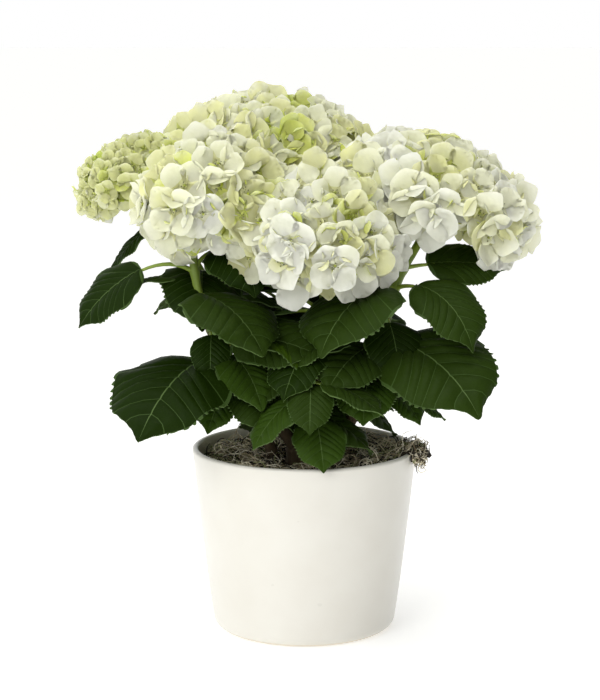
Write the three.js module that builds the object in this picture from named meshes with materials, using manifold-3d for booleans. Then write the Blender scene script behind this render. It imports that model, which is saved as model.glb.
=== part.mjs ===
// A mophead hydrangea in full bloom, grown in a round glazed pot.
// Five woody canes rise from one short stump, each with opposite pairs of leaves and one domed bloom,
// and short leafy shoots fill the foot. The solids are faceted and keep to the plant's true outline.
// Millimetres and degrees: +X right, +Y back, +Z up, origin at the centre of the pot's flat underside.
import * as THREE from "three";
import { mergeVertices } from "three/addons/utils/BufferGeometryUtils.js";
import Module from "manifold-3d";

const wasm = await Module();
wasm.setup();

// ---------- driving sizes ----------
const clear = 0.3; // gap between neighbouring solids

const pot = {
  height: 148,
  rimRadius: 91,
  footRadius: 73,
  flare: 0.85, // under 1, so that the wall opens faster near the foot
  wall: 5,
  floor: 8,
  footRound: 8,
  rings: [30, 62, 100],
  sides: 36,
};

const soil = { height: 126, flatRadius: 29, edgeDip: 3, sides: 36 };

const moss = {
  innerRadius: 30,
  top: 143,
  lump: 1.5,
  tilt: 3, // it is heaped higher on the right
  sides: 24,
  rings: 4,
  tuft: { turn: -14, reach: 89, height: 145, radii: [13, 18, 9] },
};

const trunk = { height: 22, footRadius: 19, neckRadius: 14.5, topRadius: 15.5, sides: 12 };

// Stems taper from foot to tip.
const stem = { footRadius: 5, tipRadius: 3.2, sides: 6, steps: 5 };

// A cane is one cubic curve from the stump to its bloom. Leaf pairs sit at heights above the ground.
// A leaf points to turn (0 right, 90 back) and its stalk swings away from that. rise and fall are the slopes
// of the blade at its base and tip, lift is the slope of the stalk, and roll turns the blade on its midrib.
const usualLeaf = { length: 84, width: 0.76, petiole: 22, lift: 40, rise: 12, fall: -50, roll: 0, swing: 0 };

const canes = {
  left: {
    curve: [[-9, -5, 148], [-30, -20, 190], [-86, -42, 232], [-87, -38, 313]],
    bareTo: 205,
    pairs: [
      [294, { turn: 188, petiole: 40, lift: 32, rise: -30, fall: -62, length: 68, width: 0.72, roll: -30 },
        { turn: -47, petiole: 26, lift: 75, rise: 10, fall: -85,
          length: 66, width: 0.84, roll: 20, swing: 85 }],
      [275, { turn: -64, petiole: 12, lift: 24, rise: 6, length: 88, width: 0.88, roll: -4 },
        { turn: 165, petiole: 18, lift: 60, rise: 10, fall: -32, length: 46, width: 0.6 }],
      [240, { turn: -25, petiole: 12, lift: 25, rise: 4, fall: -22, length: 76, width: 0.8, roll: 28 },
        { turn: 40, petiole: 24 }],
      [219, { turn: -112, petiole: 34, lift: 22, rise: -5, length: 104, width: 0.92, roll: -8, swing: -48 },
        { turn: 42, petiole: 16, length: 70 }],
    ],
  },
  far_left: {
    curve: [[-9, 6, 148], [-60, 25, 215], [-72, 30, 290], [-122, 28, 334]],
    bareTo: 200,
    pairs: [
      [326, { turn: 188, petiole: 10, lift: 10, rise: -38, fall: -58, length: 46, width: 0.6, roll: -10 },
        { turn: 70, petiole: 18, rise: 20, length: 74 }],
      [280, { turn: 178, petiole: 6, lift: 10, rise: -32, fall: -48, length: 42, width: 0.6, roll: 14 },
        { turn: 40, petiole: 16, length: 60 }],
      [236, { turn: 98, petiole: 24, length: 80 },
        { turn: 70, petiole: 22, rise: 22, fall: -40, length: 80 }],
    ],
  },
  back: {
    curve: [[2, 11, 148], [2, 34, 200], [-16, 56, 250], [-28, 52, 334]],
    bareTo: 196,
    pairs: [
      [318, { turn: 146, petiole: 20, fall: -60, length: 72 }, { turn: -4, fall: -54 }],
      [288, { turn: 84, rise: 4, fall: -62, length: 98 }, { turn: -84, petiole: 14, length: 62 }],
      [252, { turn: 44, petiole: 24, fall: -56 }, { turn: 128, petiole: 24, length: 92 }],
      [216, { turn: 104, petiole: 26, rise: 0, fall: -56, length: 104 },
        { turn: -18, petiole: 16, length: 66 }],
    ],
  },
  front: {
    curve: [[0, -11, 148], [6, -24, 190], [12, -30, 240], [16, -34, 284]],
    bareTo: 190,
    pairs: [
      [262, { turn: 184, petiole: 14, rise: 34, fall: -10, length: 52, width: 0.7, roll: 10 },
        { turn: 40, petiole: 12, rise: 2, fall: -60, length: 56 }],
      [240, { turn: -112, petiole: 16, lift: 14, rise: -16, fall: -54, length: 66, width: 0.7 },
        { turn: 78, length: 58 }],
      [208, { turn: -142, petiole: 16, rise: 0, length: 64 },
        { turn: 32, petiole: 20, rise: 0, fall: -62, length: 56 }],
    ],
  },
  right: {
    curve: [[11, -3, 148], [62, -34, 176], [52, -44, 262], [84, -26, 306]],
    bareTo: 204,
    pairs: [
      [296, { turn: 12, petiole: 12, lift: 12, rise: -2, fall: -20, length: 66, width: 0.74, roll: 34 },
        { turn: 165, petiole: 12, lift: 10, rise: 0, fall: -30, length: 62, width: 0.7, roll: -35 }],
      [280, { turn: -40, petiole: 18, lift: 30, rise: -5, fall: -75, length: 80, width: 0.78, roll: 20 },
        { turn: -128, petiole: 10, lift: 26, rise: -4, fall: -60, length: 88, width: 0.88, roll: 4 }],
      [258, { turn: 110, length: 80 }],
      [236, { turn: -44, petiole: 12, lift: 30, rise: -2, fall: -54, length: 104, width: 0.86, roll: 22 },
        { turn: -134, petiole: 8, lift: 10, rise: -4, fall: -40, length: 62, width: 0.8, roll: -20 }],
    ],
  },
};

// Short shoots without a bloom rise from the ground round the stump and fill the foot of the plant.
const shoots = {
  front_shoot: {
    curve: [[4, -24, 126.6], [4, -25, 158], [8, -60, 178], [5, -72, 214]],
    pairs: [
      [213, { turn: -92, petiole: 6, lift: 20, rise: -22, fall: -78, length: 46 },
        { turn: -34, petiole: 8, lift: 10, rise: -4, fall: -38, length: 58, width: 0.66 }],
      [203, { turn: -144, petiole: 12, lift: 10, rise: -24, fall: -60, length: 54 },
        { turn: 40, petiole: 10, length: 44 }],
      [190, { turn: -78, petiole: 10, lift: -10, rise: -38, fall: -70, length: 46, width: 0.9 }],
    ],
  },
  right_shoot: {
    curve: [[24, 3, 126.6], [25, 3, 156], [48, -6, 178], [54, -14, 204]],
    pairs: [
      [203, { turn: -40, petiole: 8, lift: 10, rise: -16, fall: -60, length: 48, width: 0.8 },
        { turn: 158, petiole: 12, length: 46 }],
      [190, { turn: -4, petiole: 14, lift: 10, rise: -6, fall: -40, length: 50, width: 0.7 },
        { turn: 108, petiole: 14, rise: 0, fall: -62, length: 62 }],
    ],
  },
  left_shoot: {
    curve: [[-23, -8, 126.6], [-24, -8, 154], [-44, -14, 174], [-50, -18, 198]],
    pairs: [
      [197, { turn: -118, petiole: 12, rise: -10, fall: -64, length: 52 },
        { turn: 36, petiole: 12, length: 54 }],
      [184, { turn: 176, petiole: 14, rise: -6, fall: -58, length: 60 }],
    ],
  },
  back_shoot: {
    curve: [[-8, 23, 126.6], [-8, 24, 156], [-18, 54, 176], [-20, 62, 200]],
    pairs: [
      [199, { turn: 66, petiole: 14, rise: -4, fall: -60, length: 70 },
        { turn: 160, petiole: 14, length: 64 }],
      [186, { turn: 112, petiole: 14, rise: -8, fall: -58, length: 72 },
        { turn: 12, petiole: 14, length: 66 }],
    ],
  },
};

// A bloom is a dome of four-petalled florets over a core of their stalks. It leans to [right, back], and
// its florets reach so many degrees from its top. floret is their radius.
const blooms = {
  left: { centre: [-74, -36, 351], radii: [57, 52, 50], lean: [0, -12],
    floret: 19, count: 29, reach: 122, seed: 11 },
  far_left: { centre: [-143, 30, 361], radii: [45, 44, 38], lean: [-14, 4],
    floret: 15, count: 27, reach: 112, seed: 23 },
  back: { centre: [-29, 52, 380], radii: [85, 64, 56], lean: [2, 8],
    floret: 21, count: 38, reach: 108, seed: 37 },
  front: { centre: [14, -54, 323], radii: [62, 50, 50], lean: [-6, -14],
    floret: 20, count: 30, reach: 124, seed: 41 },
  right: { centre: [110, 0, 344], radii: [78, 66, 57], lean: [8, -4],
    floret: 21, count: 34, reach: 112, seed: 59 },
};
const floretSides = 8;
const coreShare = 0.84; // of the dome
const rootShare = 0.76; // of the dome, where a floret's stalk ends inside the core
const goldenTurn = 2.399963; // radians

// ---------- finishes ----------
const finishes = {
  glaze: { color: 0xf1efe8, roughness: 0.25 },
  soil: { color: 0x2e2218, roughness: 0.95 },
  moss: { color: 0x6f6a4e, roughness: 0.95 },
  bark: { color: 0x6b5a3c, roughness: 0.85 },
  leaf: { color: 0x25471a, roughness: 0.5 },
  petal: { color: 0xeceedd, roughness: 0.7 },
};

// ---------- helpers ----------
const radians = THREE.MathUtils.degToRad;
const vector = (list) => new THREE.Vector3(...list);
const up = new THREE.Vector3(0, 0, 1);
const backward = new THREE.Vector3(0, 1, 0);

function randomFrom(seed) {
  let state = seed;
  return () => {
    state = (state * 1664525 + 1013904223) % 4294967296;
    return state / 4294967296;
  };
}

function solidOf(geometry) {
  const loose = geometry.index ? geometry.toNonIndexed() : geometry;
  const bare = new THREE.BufferGeometry().setAttribute("position", loose.getAttribute("position"));
  const merged = mergeVertices(bare, 1e-3);
  const vertProperties = merged.attributes.position.array;
  const triVerts = new Uint32Array(merged.index.array);
  return new wasm.Manifold(new wasm.Mesh({ numProp: 3, vertProperties, triVerts }));
}

// The largest body of a solid, without loose scraps.
function largest(solid) {
  const bodies = solid.decompose().sort((a, b) => b.volume() - a.volume());
  return bodies[0];
}

function meshOf(name, solid, finish) {
  const { vertProperties, triVerts } = solid.getMesh();
  const geometry = new THREE.BufferGeometry();
  geometry.setAttribute("position", new THREE.BufferAttribute(new Float32Array(vertProperties), 3));
  geometry.setIndex(new THREE.BufferAttribute(new Uint32Array(triVerts), 1));
  geometry.computeVertexNormals();
  const mesh = new THREE.Mesh(geometry, new THREE.MeshStandardMaterial({ ...finish, metalness: 0 }));
  mesh.name = name;
  return mesh;
}

// Moves every vertex of a geometry to where place(x, y, z) says.
function reshape(geometry, place) {
  const points = geometry.getAttribute("position");
  for (let i = 0; i < points.count; i++) {
    const p = place(points.getX(i), points.getY(i), points.getZ(i));
    points.setXYZ(i, p.x, p.y, p.z);
  }
  return geometry;
}

// A profile of [radius, height] points turned round the Z axis.
function turned(profile, sides) {
  const points = profile.map(([radius, height]) => new THREE.Vector2(radius, height));
  return new THREE.LatheGeometry(points, sides).rotateX(Math.PI / 2);
}

function curveOf(points) {
  return new THREE.CubicBezierCurve3(...points.map(vector));
}

// The share of a rising curve at which it reaches a height.
function shareAt(curve, height) {
  let low = 0;
  let high = 1;
  for (let i = 0; i < 30; i++) {
    const middle = (low + high) / 2;
    if (curve.getPoint(middle).z < height) low = middle;
    else high = middle;
  }
  return low;
}

// One tapering limb along a curve, from one share of it to another. The curve never runs along across.
function limb(curve, [from, to], [footRadius, tipRadius], across, sides, steps) {
  const tube = new THREE.CylinderGeometry(tipRadius, footRadius, 1, sides, steps);
  return reshape(tube, (x, y, z) => {
    const share = from + (to - from) * (y + 0.5);
    const along = curve.getTangent(share);
    const a = new THREE.Vector3().crossVectors(across, along).normalize();
    const b = new THREE.Vector3().crossVectors(a, along);
    return curve.getPoint(share).addScaledVector(a, x).addScaledVector(b, z);
  });
}

// ---------- pot, soil and moss ----------
function potRadius(height) {
  return pot.footRadius + (pot.rimRadius - pot.footRadius) * (height / pot.height) ** pot.flare;
}

// The pot's section from the middle of its underside to the middle of its inner floor, grown by a clearance.
function potProfile(grow = 0) {
  const { height, wall, floor, footRound, rings } = pot;
  const profile = [[0, -grow]];
  for (const angle of [-90, -60, -30, 0]) {
    const a = radians(angle);
    const round = footRound + grow;
    profile.push([potRadius(footRound) - footRound + round * Math.cos(a), footRound + round * Math.sin(a)]);
  }
  for (const ring of rings) profile.push([potRadius(ring) + grow, ring]);
  for (const angle of [0, 45, 90, 135, 180]) {
    const a = radians(angle);
    const round = wall / 2 + grow;
    const lip = [potRadius(height) - wall / 2, height - wall / 2];
    profile.push([lip[0] + round * Math.cos(a), lip[1] + round * Math.sin(a)]);
  }
  profile.push([potRadius(floor) - wall - grow, floor + grow], [0, floor + grow]);
  return profile;
}

function makeSoil() {
  const low = pot.floor + clear;
  const edge = soil.height - soil.edgeDip;
  const inner = (height) => potRadius(height) - pot.wall - 3 * clear;
  const side = [[inner(low), low], [inner(edge), edge]];
  const profile = [[0, low], ...side, [soil.flatRadius, soil.height], [0, soil.height]];
  return solidOf(turned(profile, soil.sides));
}

// A lumpy collar of moss on the soil, with one tuft that spills over the rim.
function makeMoss() {
  const { innerRadius, top, lump, tilt, sides, rings, tuft } = moss;
  const ground = soil.height + clear;
  const outerRadius = potRadius(top) - pot.wall - 4 * clear;
  const shoulder = 5;
  const profile = [[innerRadius, ground], [outerRadius - 2, ground]];
  for (let i = 0; i < rings; i++) {
    const share = i / (rings - 1);
    const crown = Math.sin(Math.PI * (0.25 + 0.6 * share));
    const radius = outerRadius - 1 - (outerRadius - innerRadius - 4) * share;
    profile.push([radius, ground + shoulder + (top - ground - shoulder) * crown]);
  }
  profile.push([innerRadius, ground]);
  const collar = reshape(turned(profile, sides), (x, y, z) => {
    const turn = Math.atan2(y, x);
    const lumps = Math.sin(5 * turn + 1) + Math.sin(9 * turn + Math.hypot(x, y) / 9);
    const raised = z > ground + 1 ? lump * lumps + tilt * Math.cos(turn) : 0;
    return new THREE.Vector3(x, y, z + raised);
  });
  const turn = radians(tuft.turn);
  const ball = new THREE.SphereGeometry(1, 8, 6).scale(...tuft.radii).rotateZ(turn);
  ball.translate(tuft.reach * Math.cos(turn), tuft.reach * Math.sin(turn), tuft.height);
  const potRoom = solidOf(turned(potProfile(2 * clear), pot.sides));
  const belowGround = solidOf(new THREE.BoxGeometry(300, 300, 100).translate(0, 0, ground - 50));
  return largest(solidOf(collar).add(solidOf(ball)).subtract(potRoom).subtract(belowGround));
}

// ---------- stump and canes ----------
// The stump's solid, or with a clearance the room that the feet of the canes are cut by.
function makeTrunk(grow = 0) {
  const { height, footRadius, neckRadius, topRadius, sides } = trunk;
  const ground = soil.height + clear - grow;
  const profile = [
    [0, ground],
    [footRadius + grow, ground],
    [neckRadius + 1.5 + grow, ground + height * 0.3],
    [neckRadius + grow, ground + height * 0.6],
    [topRadius + grow, ground + height * 0.9],
    [topRadius - 3 + grow, ground + height + 2 * grow],
    [0, ground + height + 2 * grow],
  ];
  return solidOf(turned(profile, sides));
}

const stemRadius = (share) => stem.footRadius + (stem.tipRadius - stem.footRadius) * share;

function makeStem(curve, from, to) {
  const radii = [stemRadius(from), stemRadius(to)];
  return solidOf(limb(curve, [from, to], radii, backward, stem.sides, stem.steps));
}

// ---------- leaves ----------
// Half the width of a blade, as a share of its greatest, from base (0) to tip (1).
function bladeOutline(s) {
  const oval = Math.sin(Math.PI * s ** 0.8) ** 0.7;
  return Math.max(oval * (1 - 0.4 * THREE.MathUtils.smoothstep(s, 0.7, 1)), 0);
}

// A leaf on its stalk, growing from a point inside a stem: a three-sided stalk and a folded, drooping blade.
function makeLeaf(foot, radius, leaf) {
  const turn = radians(leaf.turn);
  const out = new THREE.Vector3(Math.cos(turn), Math.sin(turn), 0);
  const side = new THREE.Vector3(-Math.sin(turn), Math.cos(turn), 0);
  const away = out.clone().applyAxisAngle(up, radians(leaf.swing));
  const sloped = (slope) =>
    away.clone().multiplyScalar(Math.cos(slope)).addScaledVector(up, Math.sin(slope));
  const halfStalk = 0.55 * (leaf.petiole + radius);
  const knee = foot.clone().addScaledVector(sloped(radians(leaf.lift)), halfStalk);
  const base = knee.clone().addScaledVector(sloped(radians(leaf.rise)), halfStalk);
  const start = radians(leaf.rise);
  const bend = radians(leaf.fall - leaf.rise);
  const roll = radians(leaf.roll);
  const halfWidth = (leaf.length * leaf.width) / 2;
  const thickness = Math.max(0.014 * leaf.length, 1);
  const bladePoint = (s, t, n) => {
    const slope = start + bend * s;
    const normal = out.clone().multiplyScalar(-Math.sin(slope)).addScaledVector(up, Math.cos(slope));
    const across = side.clone().multiplyScalar(Math.cos(roll)).addScaledVector(normal, Math.sin(roll));
    const over = normal.clone().multiplyScalar(Math.cos(roll)).addScaledVector(side, -Math.sin(roll));
    const width = t * halfWidth * bladeOutline(s);
    const folded = Math.abs(width) * (0.34 - 0.42 * Math.abs(t));
    return base
      .clone()
      .addScaledVector(out, (leaf.length * (Math.sin(slope) - Math.sin(start))) / bend)
      .addScaledVector(up, (leaf.length * (Math.cos(start) - Math.cos(slope))) / bend)
      .addScaledVector(across, width)
      .addScaledVector(over, folded + n * thickness);
  };
  const blade = reshape(new THREE.BoxGeometry(1, 2, 1, 4, 2, 1), (x, y, z) => bladePoint(x + 0.5, y, z));
  const stalk = new THREE.QuadraticBezierCurve3(foot, knee, bladePoint(0.12, 0, -0.1));
  return solidOf(limb(stalk, [0, 1], [2, 1.2], side, 3, 2)).add(solidOf(blade));
}

// ---------- blooms ----------
// Turns the unit sphere into a bloom's dome.
function domeOf({ centre, radii, lean }) {
  const tilt = new THREE.Quaternion().setFromEuler(new THREE.Euler(radians(-lean[1]), radians(lean[0]), 0));
  return new THREE.Matrix4().compose(vector(centre), tilt, vector(radii));
}

// The planes that part a bloom from its neighbours, each with its normal pointing at the neighbour.
function partings(name) {
  const { centre, radii } = blooms[name];
  const reachOf = (halves, way) => 1 / Math.hypot(way.x / halves[0], way.y / halves[1], way.z / halves[2]);
  const others = Object.keys(blooms).filter((other) => other !== name);
  return others.map((other) => {
    const between = vector(blooms[other].centre).sub(vector(centre));
    const normal = between.clone().normalize();
    const mine = reachOf(radii, normal);
    const theirs = reachOf(blooms[other].radii, normal);
    return { point: vector(centre).addScaledVector(between, mine / (mine + theirs)), normal };
  });
}

// Where each floret of a bloom sits: evenly over the dome on a golden spiral, a little disturbed.
function floretsOf(name) {
  const bloom = blooms[name];
  const random = randomFrom(bloom.seed);
  const dome = domeOf(bloom);
  const outward = new THREE.Matrix3().getNormalMatrix(dome);
  const walls = partings(name);
  const lowest = Math.cos(radians(bloom.reach));
  const florets = [];
  for (let i = 0; i < bloom.count; i++) {
    const high = 1 - (1 - lowest) * ((i + 0.5) / bloom.count);
    const turn = i * goldenTurn + 0.35 * (random() - 0.5);
    const flat = Math.sqrt(1 - high * high);
    const place = new THREE.Vector3(flat * Math.cos(turn), flat * Math.sin(turn), high);
    const point = place.clone().multiplyScalar(1 - 0.07 * random()).applyMatrix4(dome);
    const root = place.clone().multiplyScalar(rootShare).applyMatrix4(dome);
    const sway = new THREE.Vector3(random() - 0.5, random() - 0.5, 0.1).multiplyScalar(0.5);
    const facing = place.clone().applyMatrix3(outward).normalize().add(sway).normalize();
    const spin = Math.PI * random();
    const size = bloom.floret * (0.88 + 0.24 * random());
    const crossing = walls.some((wall) => point.clone().sub(wall.point).dot(wall.normal) > -0.35 * size);
    if (!crossing) florets.push({ point, root, facing, spin, size });
  }
  return florets;
}

// One floret: a shallow four-lobed funnel whose stalk runs down into the core.
function makeFloret({ point, root, facing, spin, size }) {
  const aim = new THREE.Quaternion().setFromUnitVectors(up, facing);
  const funnel = new THREE.ConeGeometry(1, 1, floretSides).rotateX(-Math.PI / 2);
  const shaped = reshape(funnel, (x, y, z) => {
    const onRim = Math.hypot(x, y) > 0.5;
    if (!onRim && z < 0) return root;
    const turn = Math.atan2(y, x);
    const reach = onRim ? size * (0.84 + 0.16 * Math.cos(4 * turn)) : 0;
    const cup = size * (onRim ? 0.08 : -0.06);
    const local = new THREE.Vector3(reach * Math.cos(turn + spin), reach * Math.sin(turn + spin), cup);
    return local.applyQuaternion(aim).add(point);
  });
  return solidOf(shaped);
}

// A large block whose near face lies on a plane.
function blockBeyond(point, normal) {
  const size = 400;
  const aim = new THREE.Quaternion().setFromUnitVectors(up, normal);
  const block = new THREE.BoxGeometry(size, size, size).translate(0, 0, size / 2).applyQuaternion(aim);
  return solidOf(block.translate(point.x, point.y, point.z));
}

function makeBloom(name, cane) {
  const bloom = blooms[name];
  const onward = cane.getTangent(1);
  const start = cane.getPoint(1).addScaledVector(onward, clear);
  const bend = start.clone().addScaledVector(onward, 8);
  const stalk = new THREE.QuadraticBezierCurve3(start, bend, vector(bloom.centre));
  // The core is a ball that narrows and flattens below its middle.
  const core = reshape(new THREE.SphereGeometry(coreShare, 12, 8).rotateX(Math.PI / 2), (x, y, z) => {
    const low = Math.min(z, 0);
    return new THREE.Vector3(x * (1 + 0.4 * low), y * (1 + 0.4 * low), z - 0.3 * low);
  });
  let made = solidOf(core.applyMatrix4(domeOf(bloom)));
  for (const floret of floretsOf(name)) made = made.add(makeFloret(floret));
  for (const { point, normal } of partings(name)) {
    made = made.subtract(blockBeyond(point.addScaledVector(normal, -clear / 2), normal));
  }
  return largest(made.add(solidOf(limb(stalk, [0, 1], [3, 4], backward, stem.sides, 1))));
}

// ---------- assembly ----------
const planter = new THREE.Group();
planter.add(meshOf("pot", solidOf(turned(potProfile(), pot.sides)), finishes.glaze));
planter.add(meshOf("soil", makeSoil(), finishes.soil));
const mossSolid = makeMoss();
planter.add(meshOf("moss", mossSolid, finishes.moss));

const wood = new THREE.Group();
const flowers = new THREE.Group();
wood.add(meshOf("trunk", makeTrunk(), finishes.bark));
const trunkRoom = makeTrunk(clear);
const taken = [mossSolid]; // solids that no leaf may touch
const masses = [];

for (const [name, { curve, bareTo, pairs }] of Object.entries(canes)) {
  const path = curveOf(curve);
  const end = shareAt(path, bareTo);
  const cane = makeStem(path, 0, end).subtract(trunkRoom);
  const bloom = makeBloom(name, path);
  const from = end + clear / path.getLength();
  wood.add(meshOf(`cane_${name}`, cane, finishes.bark));
  flowers.add(meshOf(`bloom_${name}`, bloom, finishes.petal));
  taken.push(cane, bloom);
  masses.push({ name, path, pairs, solid: makeStem(path, from, 1) });
}
for (const [name, { curve, pairs }] of Object.entries(shoots)) {
  const path = curveOf(curve);
  masses.push({ name, path, pairs, solid: makeStem(path, 0, 1) });
}

// The leaves of each pair's first side grow in every mass before those of its second side, and a leaf that
// would touch another part of the plant is left out.
for (const order of [0, 1]) {
  for (const mass of masses) {
    for (const [height, ...leaves] of mass.pairs) {
      if (!leaves[order]) continue;
      const share = shareAt(mass.path, height);
      const form = { ...usualLeaf, ...leaves[order] };
      const leaf = makeLeaf(mass.path.getPoint(share), stemRadius(share), form);
      const others = masses.filter((other) => other !== mass).map((other) => other.solid);
      if ([...taken, ...others].every((other) => other.intersect(leaf).isEmpty())) {
        mass.solid = mass.solid.add(leaf);
      }
    }
  }
}
const foliage = new THREE.Group();
for (const { name, solid } of masses) foliage.add(meshOf(`foliage_${name}`, solid, finishes.leaf));

const plant = new THREE.Group();
plant.add(planter, wood, foliage, flowers);

export default plant;
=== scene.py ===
import bpy
import math
import numpy as np
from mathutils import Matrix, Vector, noise


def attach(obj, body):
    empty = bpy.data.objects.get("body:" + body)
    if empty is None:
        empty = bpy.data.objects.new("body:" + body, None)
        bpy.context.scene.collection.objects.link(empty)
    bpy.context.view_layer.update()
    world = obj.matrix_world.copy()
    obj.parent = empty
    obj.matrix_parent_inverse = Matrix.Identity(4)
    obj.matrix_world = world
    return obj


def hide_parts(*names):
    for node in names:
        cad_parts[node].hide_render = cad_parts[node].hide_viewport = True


# A potted hydrangea: five flowering canes on one stump, leafy shoots round them, moss on the soil, a glazed pot.
# Lengths in the dictionaries are millimetres and angles are degrees; +X right, +Y back, +Z up.

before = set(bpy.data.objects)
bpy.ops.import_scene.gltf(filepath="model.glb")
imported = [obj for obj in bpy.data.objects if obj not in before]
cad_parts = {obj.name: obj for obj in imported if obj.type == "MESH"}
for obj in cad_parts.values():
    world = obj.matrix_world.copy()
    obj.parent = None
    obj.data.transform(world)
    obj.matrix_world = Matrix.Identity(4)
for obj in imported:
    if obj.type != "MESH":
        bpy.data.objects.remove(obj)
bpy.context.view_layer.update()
bpy.ops.object.select_all(action="DESELECT")
mm = 0.001
up = np.array([0.0, 0.0, 1.0])
print("frame loaded:", len(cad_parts), "nodes")


# camera, floor and light

view = {"place": (-3.6, -1500, 472), "downwards": 9.3, "lens": 96.9}
bpy.ops.object.camera_add(location=Vector(view["place"]) * mm, rotation=(math.radians(90 - view["downwards"]), 0, 0))
camera = bpy.context.object
camera.data.lens = view["lens"]
camera.data.clip_start = 0.05
bpy.context.scene.camera = camera
bpy.context.scene.view_settings.view_transform = "Standard"


def tone(code):  # "#rrggbb" as the linear colour that a shader takes
    parts = [int(code[i:i + 2], 16) / 255 for i in (1, 3, 5)]
    return tuple(c / 12.92 if c < 0.04045 else ((c + 0.055) / 1.055) ** 2.4 for c in parts) + (1.0,)


def dimmed(code, share):  # the same colour, darker
    return tuple(share * c for c in tone(code)[:3]) + (1.0,)


class Wire:  # an output socket that can be added, multiplied and so on
    def __init__(self, finish, socket):
        self.finish, self.socket = finish, socket

    def maths(self, operation, first, second):
        return self.finish.node("Math", {"operation": operation}, {0: first, 1: second})

    def __add__(self, other):
        return self.maths("ADD", self, other)

    def __rsub__(self, other):
        return self.maths("SUBTRACT", other, self)

    def __mul__(self, other):
        return self.maths("MULTIPLY", self, other)

    __radd__, __rmul__ = __add__, __mul__


class Graph:  # a tree of shader nodes
    def __init__(self, tree):
        self.tree = tree

    def join(self, socket, value):
        if isinstance(value, Wire):
            self.tree.links.new(value.socket, socket)
        else:
            socket.default_value = value

    def node(self, kind, settings, sockets, output=0):
        made = self.tree.nodes.new("ShaderNode" + kind)
        for key, value in settings.items():
            setattr(made, key, value)
        for key, value in sockets.items():
            self.join(made.inputs[key], value)
        return Wire(self, made.outputs[output])


class Finish(Graph):  # one material
    def __init__(self, name, colour, roughness, **fixed):
        self.material = bpy.data.materials.new(name)
        self.material.use_nodes = True
        self.material.diffuse_color = tone(colour)
        super().__init__(self.material.node_tree)
        self.shader = self.tree.nodes["Principled BSDF"]
        self.feed("Base Color", tone(colour))
        self.feed("Roughness", roughness)
        for socket, value in fixed.items():
            self.feed(socket.replace("_", " "), value)

    def feed(self, socket, value):
        self.join(self.shader.inputs[socket], value)

    def spot(self):  # the place on the object
        return self.node("TexCoord", {}, {}, "Object")

    def height(self):
        return self.node("SeparateXYZ", {}, {0: self.spot()}, "Z")

    def noise(self, size, detail=3.0, stretch=(1, 1, 1)):  # blotches of about this size in millimetres
        place = self.node("Mapping", {}, {"Vector": self.spot(), "Scale": stretch})
        return self.node("TexNoise", {}, {"Vector": place, "Scale": 1 / (size * mm), "Detail": detail})

    def between(self, wire, low, high):  # 0 below low, 1 above high
        return self.node("MapRange", {}, {"Value": wire, "From Min": low, "From Max": high})

    def mix(self, factor, first, second):
        return self.node("Mix", {"data_type": "RGBA"}, {0: factor, 6: first, 7: second}, 2)

    def bump(self, height, depth, strength=0.6):  # depth in millimetres
        rough = self.node("Bump", {}, {"Height": height, "Distance": depth * mm, "Strength": strength})
        self.feed("Normal", rough)


white = (1, 1, 1, 1)
stage = {
    "floor": "#e2e2df", "floorSize": 300, "below": 0.0003, "lit": 0.48,
    "glowLeft": 0.98, "glowRight": 0.08, "turnsAt": (-0.15, 0.7), "skyline": (0.1, 0.04),
}
bpy.ops.mesh.primitive_plane_add(size=stage["floorSize"], location=(0, 0, -stage["below"]))
floor = bpy.context.object
floor.name = "floor"
floorPaint = Finish("floorPaint", stage["floor"], 0.9, Specular_IOR_Level=0.0, Emission_Color=white,
                    Emission_Strength=stage["lit"])
floor.data.materials.append(floorPaint.material)
world = bpy.data.worlds.new("studio")
bpy.context.scene.world = world
world.use_nodes = True
air = Graph(world.node_tree)
sky = world.node_tree.nodes["Background"].inputs
sideways, upwards = (air.node("SeparateXYZ", {}, {0: air.node("TexCoord", {}, {}, "Generated")}, way) for way in "XZ")
start, end = stage["turnsAt"]
glow = air.node("MapRange", {"interpolation_type": "SMOOTHSTEP"}, {
    "Value": sideways, "From Min": start, "From Max": end, "To Min": stage["glowLeft"], "To Max": stage["glowRight"]})
start, end = stage["skyline"]
skyline = air.node("MapRange", {}, {"Value": upwards, "From Min": start, "From Max": end})  # white behind the far floor
air.join(sky["Color"], white)
air.join(sky["Strength"], glow * (1 - skyline) + skyline)

lampAim = Vector((0, 0, 0.22))
lamps = {
    "keyLamp": {"place": (-0.98, -1.66, 1.3), "size": 1.0, "power": 14},
    "topLamp": {"place": (0.05, 0.0, 1.9), "size": 1.4, "power": 14},
}
for name, lamp in lamps.items():
    bpy.ops.object.light_add(type="AREA", location=lamp["place"])
    light = bpy.context.object
    light.name = name
    light.data.size = lamp["size"]
    light.data.energy = lamp["power"]
    light.rotation_euler = (lampAim - light.location).to_track_quat("-Z", "Y").to_euler()
print("stage set")


# finishes

glaze = Finish("glaze", "#efece3", 0.3, Coat_Weight=0.25, Coat_Roughness=0.12)
cloud = glaze.noise(38, 4)
clay = glaze.between(glaze.height(), 0.0035, 0.0015)  # the foot stands bare of glaze
glazed = glaze.mix(cloud, tone("#e2e0d8"), tone("#d8d4ca"))
glaze.feed("Base Color", glaze.mix(clay, glazed, tone("#d8cfbd")))
glaze.feed("Roughness", 0.24 + 0.14 * glaze.noise(9, 2) + 0.4 * clay)
glaze.bump(glaze.noise(14, 3) + 0.3 * glaze.noise(2.2, 1), 0.35, 0.25)

soilEarth = Finish("soilEarth", "#2a1e15", 0.95)
soilEarth.feed("Base Color", soilEarth.mix(soilEarth.noise(5), tone("#1a120c"), tone("#3d2d20")))
soilEarth.bump(soilEarth.noise(1.6, 5), 1.2, 0.9)

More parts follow.
